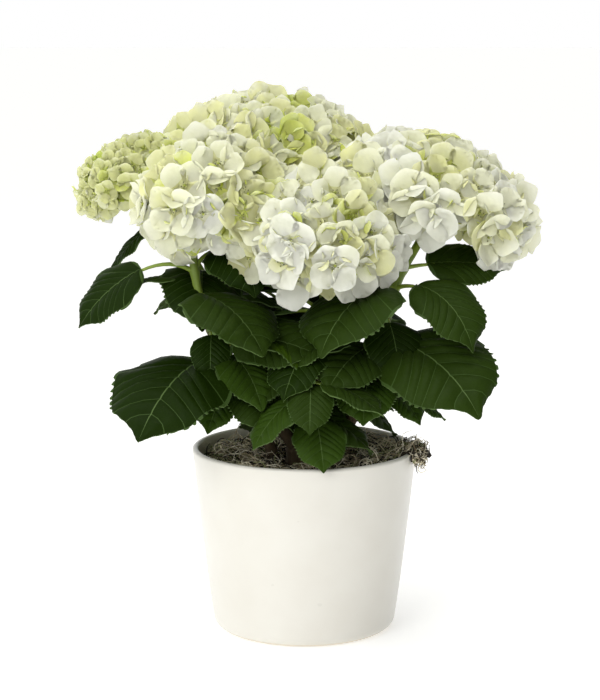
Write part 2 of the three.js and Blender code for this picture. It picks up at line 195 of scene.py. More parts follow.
mossBed = Finish("mossBed", "#2c2418", 1.0)
mossBed.feed("Base Color", mossBed.mix(mossBed.noise(7), tone("#1d170f"), tone("#453b2b")))
mossBed.bump(mossBed.noise(1.5, 5), 1.2, 0.9)

bark = Finish("bark", "#5e4c31", 0.85)
greening = bark.between(bark.height(), 0.225, 0.275)  # woody low down, darker there partly as painted shade, and green above
streaks = bark.noise(3.2, 5, (1, 1, 0.22))
# the dark woody tone is partly real bark and partly painted shade on the low stems
woodyShaded = bark.mix(streaks, tone("#2a2013"), tone("#66563a"))
green = bark.mix(streaks, tone("#5b7020"), tone("#83983a"))
bark.feed("Base Color", bark.mix(greening, woodyShaded, green))
bark.feed("Roughness", 0.9 - 0.35 * greening)
bark.bump(streaks, 0.8, 0.8)

stalkGreen = Finish("stalkGreen", "#6f8f2c", 0.45)
stalkGreen.feed("Base Color", stalkGreen.mix(stalkGreen.noise(9), tone("#6a8226"), tone("#92a63e")))

paleStalk = Finish("paleStalk", "#a9bd4a", 0.5)
paleStalk.feed("Base Color", paleStalk.mix(paleStalk.noise(9), tone("#93aa3a"), tone("#bdcc62")))

# brightness steps of one leaf green; lower leaves take the lighter steps as painted light
leafTones = {"deep": "#1b2c05", "dark": "#2a3c10", "middle": "#314712", "bright": "#3f5812"}
leafFinishes = []
for name, colour in leafTones.items():
    face = Finish("leaf" + name.capitalize(), colour, 0.42, Specular_IOR_Level=0.045)
    blotches = 0.6 * face.noise(16, 4) + 0.5 * face.noise(2.6, 2)
    face.feed("Base Color", face.mix(blotches, dimmed(colour, 0.72), tone(colour)))
    face.bump(face.noise(3.2, 2), 0.7, 0.5)
    face.feed("Roughness", 0.4 + 0.16 * face.noise(5, 2))
    leafFinishes.append(face.material)
otherTones = {"leafUnder": ("#4f6236", 0.7), "leafVein": ("#3b5024", 0.5), "leafRib": ("#526738", 0.5)}
for name, (colour, roughness) in otherTones.items():
    leafFinishes.append(Finish(name, colour, roughness, Specular_IOR_Level=0.1).material)
underTone, veinTone, ribTone = 4, 5, 6  # their places in leafFinishes

petalTones = {
    "petal": ["#f3f4e2", "#ecedc4", "#dddd99", "#cbd465", "#b7c838"],
    # darker copies of the petal tones: painted shade on the far-left bloom
    "shadedPetal": ["#e0e2c6", "#d9dbab", "#cccf86", "#bcc65c", "#a6b936"],
}
bead, stamen = Finish("petalBead", "#a3ac4e", 0.5).material, Finish("petalStamen", "#6a6f3a", 0.6).material
petalFinishes = {}
for kind, colours in petalTones.items():
    petalFinishes[kind] = []
    for letter, colour in zip("ABCDE", colours):
        petal = Finish(kind + letter, colour, 0.6, Specular_IOR_Level=0.2, Subsurface_Weight=0.7,
                       Subsurface_Radius=(1, 1, 1), Subsurface_Scale=0.006)
        petal.feed("Base Color", petal.mix(petal.noise(5, 3), dimmed(colour, 0.93), tone(colour)))
        petal.bump(petal.noise(4, 2), 0.6, 0.4)
        petalFinishes[kind].append(petal.material)
    petalFinishes[kind] += [bead, stamen]
beadTone, stamenTone = 5, 6  # their places in each list
print("finishes mixed")


# small things gathered into one mesh

class Heap:
    def __init__(self):
        self.points, self.faces, self.tones, self.count = [], [], [], 0

    def add(self, points, *groups):  # each group is faces and their finish
        for faces, number in groups:
            self.faces += (np.asarray(faces) + self.count).tolist()
            self.tones.append(np.broadcast_to(number, len(faces)))
        self.points.append(points)
        self.count += len(points)

    def build(self, name, materials, slot, *nodes, sharp=50):
        mesh = bpy.data.meshes.new(name)
        mesh.from_pydata(np.concatenate(self.points) * mm, [], self.faces)
        piece = bpy.data.objects.new(name, mesh)
        bpy.context.collection.objects.link(piece)
        for material in materials:
            mesh.materials.append(material)
        mesh.polygons.foreach_set("material_index", np.concatenate(self.tones).astype(np.int32))
        smooth(piece, sharp)
        settle(piece, slot, *nodes)


def smooth(piece, sharp):
    bpy.ops.object.select_all(action="DESELECT")
    piece.select_set(True)
    bpy.context.view_layer.objects.active = piece
    bpy.ops.object.shade_smooth_by_angle(angle=math.radians(sharp))
    bpy.ops.object.select_all(action="DESELECT")


def settle(piece, slot, *nodes):
    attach(piece, "root")
    if nodes:
        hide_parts(*nodes)
    print("  ", piece.name, len(piece.data.polygons), "faces")


def addSheet(heap, top, under, topTone, lowTone):  # a thin closed sheet between two grids of points
    m, n = top.shape[:2]
    index = np.arange(m * n).reshape(m, n)
    corners = [index[:-1, :-1], index[1:, :-1], index[1:, 1:], index[:-1, 1:]]
    upper = np.stack(corners, -1).reshape(-1, 4)
    rim = np.concatenate([index[0, :], index[1:, -1], index[-1, -2::-1], index[-2:0:-1, 0]])
    after = np.roll(rim, -1)
    edge = np.stack([rim, after, after + m * n, rim + m * n], -1)
    points = np.concatenate([top.reshape(-1, 3), under.reshape(-1, 3)])
    heap.add(points, (upper, topTone), (upper[:, ::-1] + m * n, lowTone), (edge, np.max(lowTone)))


def addTube(heap, centres, radii, number, sides):  # a closed tube; radii has one value or one ring for each centre
    steps = len(centres)
    along = np.gradient(centres, axis=0)
    along /= np.linalg.norm(along, axis=1)[:, None]
    across = np.eye(3)[np.argmin(np.abs(along).sum(0))]
    a = np.cross(across, along)
    a /= np.linalg.norm(a, axis=1)[:, None]
    b = np.cross(along, a)
    turn = np.arange(sides) * 2 * math.pi / sides
    ring = a[:, None] * np.cos(turn)[None, :, None] + b[:, None] * np.sin(turn)[None, :, None]
    points = centres[:, None] + ring * np.asarray(radii).reshape(steps, -1)[:, :, None]
    index = np.arange(steps * sides).reshape(steps, sides)
    ahead = np.roll(index, -1, axis=1)
    walls = np.stack([index[:-1], ahead[:-1], ahead[1:], index[1:]], -1).reshape(-1, 4)
    ends = [index[0, ::-1], index[-1]]
    heap.add(points.reshape(-1, 3), (walls, number), (ends, number))


def bezier(points, shares):  # quadratic or cubic, by how many points it has
    points = np.asarray(points, float)
    s = np.asarray(shares, float)[:, None, None] * np.ones((1, 1, 3))
    layer = points[None] * np.ones((len(s), 1, 1))
    while layer.shape[1] > 1:
        layer = layer[:, :-1] * (1 - s) + layer[:, 1:] * s
    return layer[:, 0]


def shareAt(curve, height):  # where a rising curve reaches a height
    low, high = 0.0, 1.0
    for _ in range(30):
        middle = (low + high) / 2
        if bezier(curve, [middle])[0][2] < height:
            low = middle
        else:
            high = middle
    return low


def heading(turn, slope=0):  # the way that points to turn and climbs by slope
    t, s = math.radians(turn), math.radians(slope)
    return np.array([math.cos(t) * math.cos(s), math.sin(t) * math.cos(s), math.sin(s)])


# pot

pot = {
    "height": 148, "rimRadius": 91, "footRadius": 73, "flare": 0.85, "wall": 5, "footRound": 8,
    "innerDepth": 30, "sides": 128, "wallRings": 14, "roundSteps": 6,
}


def potRadius(height):
    return pot["footRadius"] + (pot["rimRadius"] - pot["footRadius"]) * (max(height, 0) / pot["height"]) ** pot["flare"]


def potProfile():
    foot, lip, steps = pot["footRound"], pot["wall"] / 2, pot["roundSteps"]
    profile = []
    for i in range(steps + 1):
        a = math.radians(-90 + 90 * i / steps)
        profile.append((potRadius(foot) - foot + foot * math.cos(a), foot + foot * math.sin(a)))
    for i in range(1, pot["wallRings"]):
        height = foot + (pot["height"] - lip - foot) * i / pot["wallRings"]
        profile.append((potRadius(height), height))
    for i in range(2 * steps + 1):
        a = math.radians(180 * i / (2 * steps))
        profile.append((potRadius(pot["height"]) - lip + lip * math.cos(a), pot["height"] - lip + lip * math.sin(a)))
    low = pot["height"] - pot["innerDepth"]
    profile.append((potRadius(low) - pot["wall"], low))
    return profile


def turnedBody(name, profile, sides):  # a flat disc pulled up and resized ring by ring
    radius, height = profile[0]
    place = (0, 0, height * mm)
    bpy.ops.mesh.primitive_circle_add(vertices=sides, radius=radius * mm, fill_type="NGON", location=place)
    piece = bpy.context.object
    piece.name = piece.data.name = name
    bpy.ops.object.transform_apply(location=True, rotation=True, scale=True)
    bpy.ops.object.mode_set(mode="EDIT")
    bpy.ops.mesh.select_all(action="SELECT")
    for nextRadius, nextHeight in profile[1:]:
        rise = (0, 0, (nextHeight - height) * mm)
        bpy.ops.mesh.extrude_region_move(TRANSFORM_OT_translate={"value": rise})
        grow = nextRadius / radius
        bpy.ops.transform.resize(value=(grow, grow, 1), center_override=(0, 0, nextHeight * mm))
        radius, height = nextRadius, nextHeight
    bpy.ops.mesh.select_all(action="SELECT")
    bpy.ops.mesh.normals_make_consistent(inside=False)
    bpy.ops.object.mode_set(mode="OBJECT")
    return piece


potPiece = turnedBody("glazed_pot", potProfile(), pot["sides"])
potPiece.data.materials.append(glaze.material)
smooth(potPiece, 40)
settle(potPiece, "glaze", "pot")
print("pot turned")


# soil and stump

soil = {
    "height": 126, "edgeDip": 3, "flatTo": 29, "low": 9, "clearOfWall": 0.9, "sides": 72, "rings": 12,
    "lumps": 1.6, "lumpGrain": 160, "lumpsAbove": 120,
}
crumb = {"count": 420, "reach": 78, "size": (0.6, 1.9), "uneven": (0.6, 1.3), "flatness": 0.6, "lift": 0.2, "seed": 5}


def soilTop(radius):
    edge = potRadius(soil["height"] - soil["edgeDip"]) - pot["wall"]
    return soil["height"] - soil["edgeDip"] * max(0, (radius - soil["flatTo"]) / (edge - soil["flatTo"]))


rings = []
outer = potRadius(soil["height"] - soil["edgeDip"]) - pot["wall"] - soil["clearOfWall"]
for i in range(soil["rings"]):
    radius = outer * (1 - i / soil["rings"])
    rings.append((radius, soilTop(radius)))
lowRadius = potRadius(soil["low"]) - pot["wall"] - soil["clearOfWall"]
soilPiece = turnedBody("potting_mix", [(lowRadius, soil["low"])] + rings, soil["sides"])
for vertex in soilPiece.data.vertices:
    if vertex.co.z > soil["lumpsAbove"] * mm:
        vertex.co.z += soil["lumps"] * mm * (noise.noise(vertex.co * soil["lumpGrain"]) - 0.5)
soilPiece.data.materials.append(soilEarth.material)
smooth(soilPiece, 60)
settle(soilPiece, "soil", "soil")

luck = np.random.default_rng(crumb["seed"])
crumbs = Heap()
octa = np.concatenate([np.eye(3), -np.eye(3)])
octaFaces = [[0, 1, 2], [1, 3, 2], [3, 4, 2], [4, 0, 2], [1, 0, 5], [3, 1, 5], [4, 3, 5], [0, 4, 5]]
for _ in range(crumb["count"]):
    radius, turn = crumb["reach"] * math.sqrt(luck.random()), 2 * math.pi * luck.random()
    size = luck.uniform(*crumb["size"])
    points = octa * size * luck.uniform(*crumb["uneven"], (6, 1))
    points[:, 2] *= crumb["flatness"]
    place = [radius * math.cos(turn), radius * math.sin(turn), soilTop(radius) + crumb["lift"]]
    crumbs.add(points + place, (octaFaces, 0))
crumbs.build("soil_crumbs", [soilEarth.material], "soil")

stump = {
    "profile": [(19, 126.3), (17.6, 128.5), (16, 132.9), (14.8, 136), (14.5, 139.5), (15, 143), (15.4, 146.1),
                (12.5, 148.2)],
    "sides": 44, "relief": 1.1, "grain": (260, 260, 50),
}
stumpPiece = turnedBody("stump_bark", stump["profile"], stump["sides"])
bpy.ops.object.modifier_add(type="SUBSURF")
stumpPiece.modifiers[-1].levels = stumpPiece.modifiers[-1].render_levels = 1
bpy.ops.object.modifier_apply(modifier=stumpPiece.modifiers[-1].name)
for vertex in stumpPiece.data.vertices:
    out = Vector((vertex.co.x, vertex.co.y, 0))
    ridge = noise.noise(Vector([c * grain for c, grain in zip(vertex.co, stump["grain"])]))
    vertex.co += out.normalized() * stump["relief"] * mm * ridge
stumpPiece.data.materials.append(bark.material)
smooth(stumpPiece, 60)
settle(stumpPiece, "bark", "trunk")
print("soil and stump made")


# moss: a lumpy bed under curly strands

moss = {
    "weld": 0.02, "voxel": 2.4, "sink": 1.2, "lumps": 1.6, "lumpGrain": 190, "rimFrom": 93, "rimSink": 3,
    "strands": 3000, "length": (10, 28), "radius": (0.36, 0.7), "thinEnd": 0.45, "curl": 1.0, "arch": 0.45,
    "steps": 8, "from": 128, "upright": 0.15, "seed": 8, "lowest": 122, "furthest": 102,
    "wall": (84.8, 92.6), "wallTop": 149.5,  # strands stay out of this
}
tuftOver = {"from": 86, "share": 5, "length": 0.6, "curl": 1.8}  # the tuft over the rim: more, shorter, curlier
mossColours = {"#e9dfc4": 0.25, "#a89a7c": 0.25, "#949a66": 0.12, "#f8f0da": 0.16, "#2c2418": 0.22}  # and their shares
mossFinishes = [Finish("mossStrand" + letter, colour, 0.95).material for letter, colour in zip("ABCDE", mossColours)]

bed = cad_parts["moss"].copy()
bed.data = bed.data.copy()
bed.name = bed.data.name = "moss_bed"
bed.parent = None
for key in list(bed.keys()):  # the node's own marks stay on the node
    del bed[key]
bpy.context.collection.objects.link(bed)
bed.select_set(True)
bpy.context.view_layer.objects.active = bed
bpy.ops.object.mode_set(mode="EDIT")
bpy.ops.mesh.select_all(action="SELECT")
bpy.ops.mesh.remove_doubles(threshold=moss["weld"] * mm)
bpy.ops.object.mode_set(mode="OBJECT")
bpy.ops.object.modifier_add(type="REMESH")
bed.modifiers[-1].mode = "VOXEL"
bed.modifiers[-1].voxel_size = moss["voxel"] * mm
bpy.ops.object.modifier_apply(modifier=bed.modifiers[-1].name)
for vertex in bed.data.vertices:
    sink = moss["sink"] + moss["lumps"] * noise.noise(vertex.co * moss["lumpGrain"])
    if math.hypot(vertex.co.x, vertex.co.y) > moss["rimFrom"] * mm:
        sink += moss["rimSink"]
    vertex.co -= vertex.normal * (sink * mm)
bed.data.materials.clear()
bed.data.materials.append(mossBed.material)
smooth(bed, 60)
settle(bed, "moss", "moss")

luck = np.random.default_rng(moss["seed"])
centres, normals = [], []
for face in bed.data.polygons:
    tuft = math.hypot(face.center.x, face.center.y) > tuftOver["from"] * mm
    if face.center.z > moss["from"] * mm and (tuft or face.normal.z > moss["upright"]):
        for _ in range(tuftOver["share"] if tuft else 1):
            centres.append(np.array(face.center) / mm)
            normals.append(np.array(face.normal))
strands = Heap()
for _ in range(moss["strands"]):
    pick = luck.integers(len(centres))
    normal = normals[pick]
    place = centres[pick] + luck.uniform(-1, 1, 3)
    way = np.cross(normal, luck.normal(size=3))
    way /= np.linalg.norm(way)
    tuft = math.hypot(place[0], place[1]) > tuftOver["from"]
    length = luck.uniform(*moss["length"]) * (tuftOver["length"] if tuft else 1)
    bend = luck.normal(0, moss["curl"] * (tuftOver["curl"] if tuft else 1), 2)
    path = [place - 0.4 * normal]
    for i in range(moss["steps"]):
        side = np.cross(normal, way)
        arch = 0.9 * math.cos(math.pi * (i + 0.5) / moss["steps"])
        way = way + side * bend[0] * 0.6 + normal * bend[1] * 0.25 * math.sin(i)
        way /= np.linalg.norm(way)
        path.append(path[-1] + (way + moss["arch"] * arch * normal) * length / moss["steps"])
    path = np.array(path)
    reach = np.hypot(path[:, 0], path[:, 1])
    inWall = (path[:, 2] < moss["wallTop"]) & (reach > moss["wall"][0]) & (reach < moss["wall"][1])
    if not inWall.any() and reach.max() < moss["furthest"] and path[:, 2].min() > moss["lowest"]:
        taper = np.linspace(1, moss["thinEnd"], len(path)) * luck.uniform(*moss["radius"])
        addTube(strands, path, taper, luck.choice(len(mossColours), p=list(mossColours.values())), 3)
strands.build("moss_strands", mossFinishes, "moss", "moss", sharp=180)
print("moss laid")


# canes

stem = {
    "footRadius": 5, "tipRadius": 3.2, "sides": 14, "relief": 0.35, "ridges": 2.4, "ridgeStretch": 0.09,
    "knuckle": 0.9, "knuckleReach": 3.2,
}
usualLeaf = {"length": 84, "width": 0.76, "petiole": 22, "lift": 40, "rise": 12, "fall": -50, "roll": 0, "swing": 0}

# a cane is a curve, with bark up to bareTo; each row of pairs is a height and the one or two leaves there
canes = {
    "left": {
        "curve": [[-9, -5, 148], [-30, -20, 190], [-86, -42, 232], [-87, -38, 313]], "bareTo": 205,
        "pairs": [
            [294, {"turn": 188, "petiole": 41, "lift": 36, "rise": -26, "fall": -60, "length": 68, "width": 0.74,
                   "roll": -30},
             {"turn": -47, "petiole": 26, "lift": 75, "rise": 10, "fall": -85, "length": 66, "width": 0.84,
              "roll": 20, "swing": 85}],
            [275, {"turn": -44, "petiole": 11, "lift": 30, "rise": -6, "fall": -58, "length": 80, "width": 1.1,
                   "roll": -4, "swing": -30, "tone": 1},
             {"turn": 165, "petiole": 18, "lift": 60, "rise": 10, "fall": -32, "length": 46, "width": 0.6}],
            [240, {"turn": -25, "petiole": 12, "lift": 25, "rise": 4, "fall": -22, "length": 76, "width": 0.8,
                   "roll": 28},
             {"turn": 40, "petiole": 24}],
            [219, {"turn": -117, "petiole": 22, "lift": 22, "rise": -5, "length": 105, "width": 0.88, "roll": -8,
                   "swing": -43, "tone": 0},
             {"turn": 42, "petiole": 16, "length": 70}],
            [230, {"turn": -58, "petiole": 10, "lift": 10, "rise": -14, "fall": -66, "length": 60, "width": 0.84}],
            [206, {"turn": -72, "petiole": 10, "lift": 10, "rise": -8, "fall": -60, "length": 60, "width": 0.84}],
            [248, {"turn": -90, "petiole": 6, "lift": 0, "rise": -30, "fall": -84, "length": 40, "width": 0.78,
                   "tone": 0}],
        ],
    },
    "far_left": {
        "curve": [[-9, 6, 148], [-60, 25, 215], [-72, 30, 290], [-122, 28, 334]], "bareTo": 200,
        "pairs": [
            [326, {"turn": 188, "petiole": 10, "lift": 10, "rise": -38, "fall": -58, "length": 46, "width": 0.6,
                   "roll": -10},
             {"turn": 70, "petiole": 18, "rise": 20, "length": 74}],
            [280, {"turn": 178, "petiole": 6, "lift": 10, "rise": -32, "fall": -48, "length": 42, "width": 0.6,
                   "roll": 14},
             {"turn": 40, "petiole": 16, "length": 60}],
            [236, {"turn": 98, "petiole": 24, "length": 80},
             {"turn": 70, "petiole": 22, "rise": 22, "fall": -40, "length": 80}],
        ],
    },
    "back": {
        "curve": [[2, 11, 148], [2, 34, 200], [-16, 56, 250], [-28, 52, 334]], "bareTo": 196,
        "pairs": [
            [318, {"turn": 146, "petiole": 20, "fall": -60, "length": 72}, {"turn": -4, "fall": -54}],
            [288, {"turn": 84, "rise": 4, "fall": -62, "length": 98}, {"turn": -84, "petiole": 14, "length": 62}],
            [252, {"turn": 44, "petiole": 24, "fall": -56}, {"turn": 128, "petiole": 24, "length": 92}],
            [216, {"turn": 104, "petiole": 26, "rise": 0, "fall": -56, "length": 104},
             {"turn": -18, "petiole": 16, "length": 66}],
        ],
    },
    "front": {
        "curve": [[0, -11, 148], [6, -24, 190], [12, -30, 240], [16, -34, 284]], "bareTo": 190,
        "pairs": [
            [262, {"turn": 184, "petiole": 14, "rise": 34, "fall": -10, "length": 52, "width": 0.7, "roll": 10},
             {"turn": 40, "petiole": 12, "rise": 2, "fall": -60, "length": 56}],
            [240, {"turn": -112, "petiole": 16, "lift": 14, "rise": -16, "fall": -54, "length": 66, "width": 0.7},
             {"turn": 78, "length": 58}],
            [208, {"turn": -142, "petiole": 16, "rise": 0, "length": 64},
             {"turn": 32, "petiole": 20, "rise": 0, "fall": -62, "length": 56}],
        ],
    },
    "right": {
        "curve": [[11, -3, 148], [62, -34, 176], [52, -44, 262], [84, -26, 306]], "bareTo": 204,
        "pairs": [
            [296, {"turn": 10, "petiole": 14, "lift": 16, "rise": 5, "fall": -14, "length": 66, "width": 0.74,
                   "roll": 34, "tone": 1},
             {"turn": 165, "petiole": 12, "lift": 10, "rise": 0, "fall": -30, "length": 62, "width": 0.7,
              "roll": -35}],
            [280, {"turn": -45, "petiole": 20, "lift": 30, "rise": -5, "fall": -74, "length": 78, "width": 0.66,
                   "roll": 20, "tone": 1},
             {"turn": -133, "petiole": 17, "lift": 26, "rise": -8, "fall": -64, "length": 84, "width": 1.08,
              "roll": 4, "tone": 1}],
            [258, {"turn": 110, "length": 80},
             {"turn": -78, "petiole": 7, "lift": 0, "rise": -28, "fall": -80, "length": 56, "width": 0.84,
              "tone": 0}],
            [236, {"turn": -48, "petiole": 12, "lift": 30, "rise": -2, "fall": -54, "length": 106, "width": 0.84,
                   "roll": 22, "swing": 8, "tone": 1},
             {"turn": -124, "petiole": 8, "lift": 10, "rise": -4, "fall": -44, "length": 68, "width": 0.86,
              "roll": -16}],
            [214, {"turn": -98, "petiole": 10, "lift": 10, "rise": -10, "fall": -62, "length": 56, "width": 0.86}],
        ],
    },
}

# short shoots without a bloom, from the ground round the stump
shoots = {
    "front_shoot": {
        "curve": [[4, -24, 126.6], [4, -25, 158], [8, -60, 178], [5, -72, 214]],
        "pairs": [
            [213, {"turn": -92, "petiole": 6, "lift": 20, "rise": -22, "fall": -78, "length": 46},
             {"turn": -34, "petiole": 8, "lift": 10, "rise": -4, "fall": -38, "length": 58, "width": 0.66}],
            [203, {"turn": -144, "petiole": 12, "lift": 10, "rise": -24, "fall": -60, "length": 54},
             {"turn": 40, "petiole": 10, "length": 44}],
            [190, {"turn": -78, "petiole": 10, "lift": -10, "rise": -38, "fall": -70, "length": 46, "width": 0.9}],
        ],
    },
    "right_shoot": {
        "curve": [[24, 3, 126.6], [25, 3, 156], [48, -6, 178], [54, -14, 204]],
        "pairs": [
            [203, {"turn": -40, "petiole": 8, "lift": 10, "rise": -16, "fall": -60, "length": 48, "width": 0.8},
             {"turn": 158, "petiole": 12, "length": 46}],
            [190, {"turn": -4, "petiole": 14, "lift": 10, "rise": -6, "fall": -40, "length": 50, "width": 0.7},
             {"turn": 108, "petiole": 14, "rise": 0, "fall": -62, "length": 62}],
        ],
    },
    "left_shoot": {
        "curve": [[-23, -8, 126.6], [-24, -8, 154], [-44, -14, 174], [-50, -18, 198]],
        "pairs": [
            [197, {"turn": -118, "petiole": 12, "rise": -10, "fall": -64, "length": 52},
             {"turn": 36, "petiole": 12, "length": 54}],
            [184, {"turn": 176, "petiole": 14, "rise": -6, "fall": -58, "length": 60}],
        ],
    },
    "back_shoot": {
        "curve": [[-8, 23, 126.6], [-8, 24, 156], [-18, 54, 176], [-20, 62, 200]],
        "pairs": [
            [199, {"turn": 66, "petiole": 14, "rise": -4, "fall": -60, "length": 70},
             {"turn": 160, "petiole": 14, "length": 64}],
            [186, {"turn": 112, "petiole": 14, "rise": -8, "fall": -58, "length": 72},
             {"turn": 12, "petiole": 14, "length": 66}],
        ],
    },
}


def stemRadius(share):
    return stem["footRadius"] + (stem["tipRadius"] - stem["footRadius"]) * share


def addStem(heap, limb, start, end, steps, number):  # a ridged stem, thicker where its leaves leave it
    shares = np.linspace(start, end, steps)
    centres = bezier(limb["curve"], shares)
    radii = stemRadius(shares)[:, None] * np.ones((1, stem["sides"]))
    for height, *_ in limb["pairs"]:
        radii += (stem["knuckle"] * np.exp(-((centres[:, 2] - height) / stem["knuckleReach"]) ** 2))[:, None]
    for i, centre in enumerate(centres):
        for j in range(stem["sides"]):
            around = 2 * math.pi * j / stem["sides"]
            x, y = stem["ridges"] * math.cos(around), stem["ridges"] * math.sin(around)
            radii[i, j] += stem["relief"] * noise.noise(Vector((x, y, centre[2] * stem["ridgeStretch"])))
    addTube(heap, centres, radii, number, stem["sides"])


for name, cane in canes.items():
    wood = Heap()
    addStem(wood, cane, 0.0, shareAt(cane["curve"], cane["bareTo"]), 40, 0)
    wood.build("bark_" + name, [bark.material], "bark", "cane_" + name, sharp=70)
print("canes grown")


# leaves

blade = {
    "veins": 6, "sweep": 0.5, "crowd": 1.3, "thickness": 0.8, "fold": (0.34, 0.42), "pucker": 1.3, "groove": 0.6,
    "teeth": 38, "tooth": 0.04, "toothLean": 0.007, "wave": 1.8, "waves": 2.3,
    "columns": [-1, -0.985, -0.8, -0.53, -0.26, -0.013, 0.013, 0.26, 0.53, 0.8, 0.985, 1],
    "midrib": 5,  # the narrow column in the middle
    "stalkAt": 0.12, "stalkRow": 14, "stalkUnder": 0.9, "stalkRadius": (2.1, 1.0), "stalkSteps": 10,
}


def bladeRows():  # rows of the blade, two close together at each side vein
    between = [0.17, 0.34, 0.5, 0.66, 0.83]
    rows = [0, 0.03, 0.09] + between
    for vein in range(1, blade["veins"] + 1):
        rows += [vein - 0.02, vein + 0.02] + [vein + step for step in between]
    return np.array(rows + [blade["veins"] + step for step in (0.94, 1.1, 1.3, 1.5)])


def bladeOutline(s):
    oval = np.maximum(np.sin(math.pi * np.clip(s, 0, 1) ** 0.75), 0) ** 0.5
    ease = np.clip((s - 0.75) / 0.23, 0, 1)
    return np.maximum(oval * (1 - 0.7 * ease * ease * (3 - 2 * ease)), 0.012)


def addLeaf(leaves, twigs, foot, radius, leaf, luck, colour):
    out, side = heading(leaf["turn"]), heading(leaf["turn"] + 90)
    halfStalk = 0.55 * (leaf["petiole"] + radius)  # a little over half, as it bends
    knee = foot + heading(leaf["turn"] + leaf["swing"], leaf["lift"]) * halfStalk
    base = knee + heading(leaf["turn"] + leaf["swing"], leaf["rise"]) * halfStalk
    start, roll = math.radians(leaf["rise"]), math.radians(leaf["roll"])
    bend = math.radians(leaf["fall"] - leaf["rise"])
    length, halfWidth = leaf["length"], leaf["length"] * leaf["width"] / 2
    rows = bladeRows()
    columns = np.array(blade["columns"])
    t = columns[None, :] * np.ones((len(rows), 1))
    root = (rows / rows[-1]) ** blade["crowd"]
    sweep = blade["sweep"] * (1 - root) * (1 - np.exp(-20 * root))
    s = root[:, None] + sweep[:, None] * (1.3 * np.abs(t) - 0.3 * t * t)
    onVein = np.abs(rows - np.round(rows)) < 0.05
    tooth = (1 - 2 * (np.round(s[:, :1] * blade["teeth"]) % 2)) * (np.abs(t) == 1)
    tooth[[0, 1, 2, -1]] = 0
    s = np.clip(s + blade["toothLean"] * tooth, 0, 1)
    slope = start + bend * s
    normal = -out * np.sin(slope)[..., None] + up * np.cos(slope)[..., None]
    across = side * math.cos(roll) + normal * math.sin(roll)
    over = normal * math.cos(roll) - side * math.sin(roll)
    width = t * halfWidth * bladeOutline(s) * (1 + blade["tooth"] * tooth)
    fold = np.abs(width) * (blade["fold"][0] - blade["fold"][1] * np.abs(t))
    size = length / usualLeaf["length"]
    quilt = np.abs(np.sin(math.pi * rows))[:, None] * np.sin(math.pi * np.minimum(1.08 * np.abs(t), 1))
    quilt = quilt * np.minimum(9 - 9 * s, 1)  # flat towards the tip
    groove = onVein[:, None] * (1 - t * t)
    phase, ripple = luck.uniform(0, 6.28), luck.uniform(0.5, 1.4)
    wave = np.sin(2 * math.pi * blade["waves"] * s + phase + 1.7 * np.sign(t)) * np.abs(t) ** 3
    wave = blade["wave"] * ripple * wave
    height = fold + size * (blade["pucker"] * quilt - blade["groove"] * groove + wave)
    centre = base + out * (length * (np.sin(slope) - math.sin(start)) / bend)[..., None] \
        + up * (length * (math.cos(start) - np.cos(slope)) / bend)[..., None] + across * width[..., None]
    half = blade["thickness"] / 2
    top, under = centre + over * (height + half)[..., None], centre + over * (height - half)[..., None]
    tones = np.full((len(rows) - 1, len(columns) - 1), colour)
    tones[np.diff(rows) < 0.1, 1:-1] = veinTone
    tones[:, blade["midrib"]] = ribTone
    tones[3:-3, [0, -1]] = veinTone
    below = np.full(tones.shape, underTone)
    below[:, blade["midrib"]] = ribTone
    addSheet(leaves, top, under, tones.ravel(), below.ravel())
    chord, climb = blade["stalkAt"] * length, start + blade["stalkAt"] / 2 * bend
    tip = base + out * chord * math.cos(climb) + up * chord * math.sin(climb)
    tip = tip - normal[blade["stalkRow"], blade["midrib"]] * blade["stalkUnder"]
    path = bezier([foot, knee, tip], np.linspace(0, 1, blade["stalkSteps"]))
    addTube(twigs, path, np.linspace(*blade["stalkRadius"], blade["stalkSteps"]), 0, 8)


# how leaf brightness follows height, as painted light and shade
leafShadingByHeight = {"from": 300, "over": 130, "lowest": 2.1, "highest": -0.1, "spread": 0.6}


def leafTone(luck, height):  # painted light: lower leaves are brighter and upper leaves darker
    low = np.clip((leafShadingByHeight["from"] - height) / leafShadingByHeight["over"], 0, 1)
    shade = leafShadingByHeight["lowest"] * low + leafShadingByHeight["highest"] + luck.normal(0, leafShadingByHeight["spread"])
    return int(np.clip(round(shade), 0, len(leafTones) - 1))


# smaller leaves that fill the inside of the plant
filler = {
    "count": 11, "fewer": 4, "low": 176, "high": 290, "below": 12, "turn": 137.5, "length": (50, 82),
    "width": (0.76, 0.92), "petiole": (12, 28), "lift": (10, 40), "rise": (-14, 14), "fall": (-70, -45),
    "roll": (-14, 14), "reach": (-80, 80), "depth": (-84, 124),
}


def fillersOf(mass, luck):
    leaves = []
    top = min(filler["high"], mass["curve"][-1][2] - filler["below"])
    for i in range(filler["count"] if "bareTo" in mass else filler["fewer"]):
        height = filler["low"] + (top - filler["low"]) * (i + luck.random()) / filler["count"]
        leaf = {**usualLeaf, "turn": filler["turn"] * i + luck.uniform(-25, 25)}
        for key in ("length", "width", "petiole", "lift", "rise", "fall", "roll"):
            leaf[key] = luck.uniform(*filler[key])
        foot = bezier(mass["curve"], [shareAt(mass["curve"], height)])[0]
        tip = foot + heading(leaf["turn"]) * (leaf["petiole"] + 0.9 * leaf["length"])
        if filler["reach"][0] < tip[0] < filler["reach"][1] and filler["depth"][0] < tip[1] < filler["depth"][1]:
            leaves.append((height, leaf))
    return leaves


